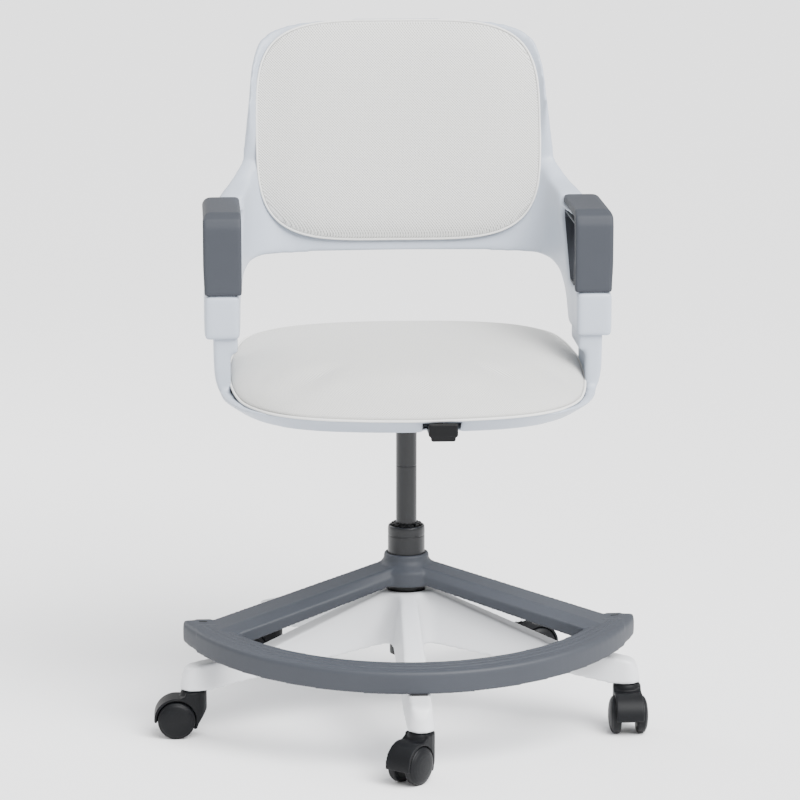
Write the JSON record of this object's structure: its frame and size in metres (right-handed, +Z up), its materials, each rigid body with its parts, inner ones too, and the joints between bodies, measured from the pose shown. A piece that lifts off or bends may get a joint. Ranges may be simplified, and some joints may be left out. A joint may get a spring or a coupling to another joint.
{
  "type": "height-adjustable swivel study chair",
  "caption": "Small swivel study chair with padded seat and back, closed arm loops, gas lift, curved footrest and a star base on twin-wheel casters.",
  "frame": {"origin": "on the floor, on the gas lift's axis", "axes": "+Z up, the sitter faces -Y, +X is the sitter's left-hand side seen from the front as the viewer's right"},
  "size_m": [0.6595, 0.6406, 0.924],
  "materials": {
    "base_plastic": "satin white nylon",
    "shell_plastic": "satin pale blue-grey moulding",
    "grey_plastic": "matt slate grey moulding",
    "pad_grey": "soft-touch slate grey",
    "black_plastic": "matt black",
    "caster_plastic": "satin near-black nylon",
    "wheel_plastic": "satin near-black nylon",
    "black_rubber": "matt",
    "lift_paint": "satin black",
    "steel": "bright",
    "pan_board": "plain moulded board",
    "seat_fabric": "fine off-white woven mesh",
    "back_fabric": "fine off-white woven mesh"
  },
  "bodies": {
    "base": {"star_base": "base_plastic", "lift_outer_tube": "lift_paint", "lift_guide_bushing": "black_plastic", "thrust_bearing": "steel", "footrest": "grey_plastic", "footrest_block": "black_rubber"},
    "lift_rod": {"piston_rod": "steel", "rod_clip": "steel"},
    "seat": {"lift_tube": "lift_paint", "taper_socket": "lift_paint", "mechanism_plate": "lift_paint", "plate_bolts": "steel", "lever_pivot_pin": "steel", "seat_shell": "shell_plastic", "seat_pan": "pan_board", "seat_cushion": "seat_fabric", "back_frame": "shell_plastic", "back_pan": "pan_board", "back_cushion": "back_fabric", "arm_screws": "steel", "arm_pad_left": "pad_grey", "arm_pad_right": "pad_grey", "loop_liner_left": "pad_grey", "loop_liner_right": "pad_grey"},
    "height_lever": {"height_lever": "lift_paint", "lever_paddle": "black_plastic"},
    "valve_button": {"valve_button": "steel"},
    "caster_front": {"caster_front_hood": "caster_plastic", "caster_front_stem": "steel", "caster_front_axle": "steel"},
    "wheel_front_left": {"caster_front_wheel_left": "wheel_plastic"},
    "wheel_front_right": {"caster_front_wheel_right": "wheel_plastic"},
    "caster_right": {"caster_right_hood": "caster_plastic", "caster_right_stem": "steel", "caster_right_axle": "steel"},
    "wheel_right_left": {"caster_right_wheel_left": "wheel_plastic"},
    "wheel_right_right": {"caster_right_wheel_right": "wheel_plastic"},
    "caster_rear_right": {"caster_rear_right_hood": "caster_plastic", "caster_rear_right_stem": "steel", "caster_rear_right_axle": "steel"},
    "wheel_rear_right_left": {"caster_rear_right_wheel_left": "wheel_plastic"},
    "wheel_rear_right_right": {"caster_rear_right_wheel_right": "wheel_plastic"},
    "caster_rear_left": {"caster_rear_left_hood": "caster_plastic", "caster_rear_left_stem": "steel", "caster_rear_left_axle": "steel"},
    "wheel_rear_left_left": {"caster_rear_left_wheel_left": "wheel_plastic"},
    "wheel_rear_left_right": {"caster_rear_left_wheel_right": "wheel_plastic"},
    "caster_left": {"caster_left_hood": "caster_plastic", "caster_left_stem": "steel", "caster_left_axle": "steel"},
    "wheel_left_left": {"caster_left_wheel_left": "wheel_plastic"},
    "wheel_left_right": {"caster_left_wheel_right": "wheel_plastic"}
  },
  "joints": [
    {"name": "seat_swivel", "type": "hinge", "parent": "base", "child": "lift_rod", "pos_m": [0, 0, 0.2], "axis": [0, 0, 1], "continuous": true},
    {"name": "seat_height", "type": "slide", "parent": "lift_rod", "child": "seat", "axis": [0, 0, 1], "range_m": [-0.085, 0.015]},
    {"name": "lever_lift", "type": "hinge", "parent": "seat", "child": "height_lever", "pos_m": [0, -0.07, 0.446], "axis": [-1, 0, 0], "range_deg": [0, 2.2], "stiffness_Nm_per_rad": 3, "springref_deg": -6.88},
    {"name": "valve_press", "type": "slide", "parent": "seat", "child": "valve_button", "axis": [0, 0, -1], "range_m": [0, 0.0028], "stiffness_N_per_m": 200, "springref_m": -0.002},
    {"name": "front_swivel", "type": "hinge", "parent": "base", "child": "caster_front", "pos_m": [0, -0.305, 0.06], "axis": [0, 0, 1], "continuous": true},
    {"name": "front_left_roll", "type": "hinge", "parent": "caster_front", "child": "wheel_front_left", "pos_m": [-0.01478, -0.32262, 0.025], "axis": [0.766, -0.6428, 0], "continuous": true},
    {"name": "front_right_roll", "type": "hinge", "parent": "caster_front", "child": "wheel_front_right", "pos_m": [-0.01478, -0.32262, 0.025], "axis": [0.766, -0.6428, 0], "continuous": true},
    {"name": "right_swivel", "type": "hinge", "parent": "base", "child": "caster_right", "pos_m": [0.29007, -0.09425, 0.06], "axis": [0, 0, 1], "continuous": true},
    {"name": "right_left_roll", "type": "hinge", "parent": "caster_right", "child": "wheel_right_left", "pos_m": [0.29007, -0.11725, 0.025], "axis": [1, 0, 0], "continuous": true},
    {"name": "right_right_roll", "type": "hinge", "parent": "caster_right", "child": "wheel_right_right", "pos_m": [0.29007, -0.11725, 0.025], "axis": [1, 0, 0], "continuous": true},
    {"name": "rear_right_swivel", "type": "hinge", "parent": "base", "child": "caster_rear_right", "pos_m": [0.17927, 0.24675, 0.06], "axis": [0, 0, 1], "continuous": true},
    {"name": "rear_right_left_roll", "type": "hinge", "parent": "caster_rear_right", "child": "wheel_rear_right_left", "pos_m": [0.20089, 0.25462, 0.025], "axis": [-0.342, 0.9397, 0], "continuous": true},
    {"name": "rear_right_right_roll", "type": "hinge", "parent": "caster_rear_right", "child": "wheel_rear_right_right", "pos_m": [0.20089, 0.25462, 0.025], "axis": [-0.342, 0.9397, 0], "continuous": true},
    {"name": "rear_left_swivel", "type": "hinge", "parent": "base", "child": "caster_rear_left", "pos_m": [-0.17927, 0.24675, 0.06], "axis": [0, 0, 1], "continuous": true},
    {"name": "rear_left_left_roll", "type": "hinge", "parent": "caster_rear_left", "child": "wheel_rear_left_left", "pos_m": [-0.20089, 0.25462, 0.025], "axis": [-0.342, -0.9397, 0], "continuous": true},
    {"name": "rear_left_right_roll", "type": "hinge", "parent": "caster_rear_left", "child": "wheel_rear_left_right", "pos_m": [-0.20089, 0.25462, 0.025], "axis": [-0.342, -0.9397, 0], "continuous": true},
    {"name": "left_swivel", "type": "hinge", "parent": "base", "child": "caster_left", "pos_m": [-0.29007, -0.09425, 0.06], "axis": [0, 0, 1], "continuous": true},
    {"name": "left_left_roll", "type": "hinge", "parent": "caster_left", "child": "wheel_left_left", "pos_m": [-0.31307, -0.09425, 0.025], "axis": [0, -1, 0], "continuous": true},
    {"name": "left_right_roll", "type": "hinge", "parent": "caster_left", "child": "wheel_left_right", "pos_m": [-0.31307, -0.09425, 0.025], "axis": [0, -1, 0], "continuous": true}
  ],
  "couplings": [
    {"joint": "valve_press", "follows": "lever_lift", "m_per_rad": 0.07}
  ]
}
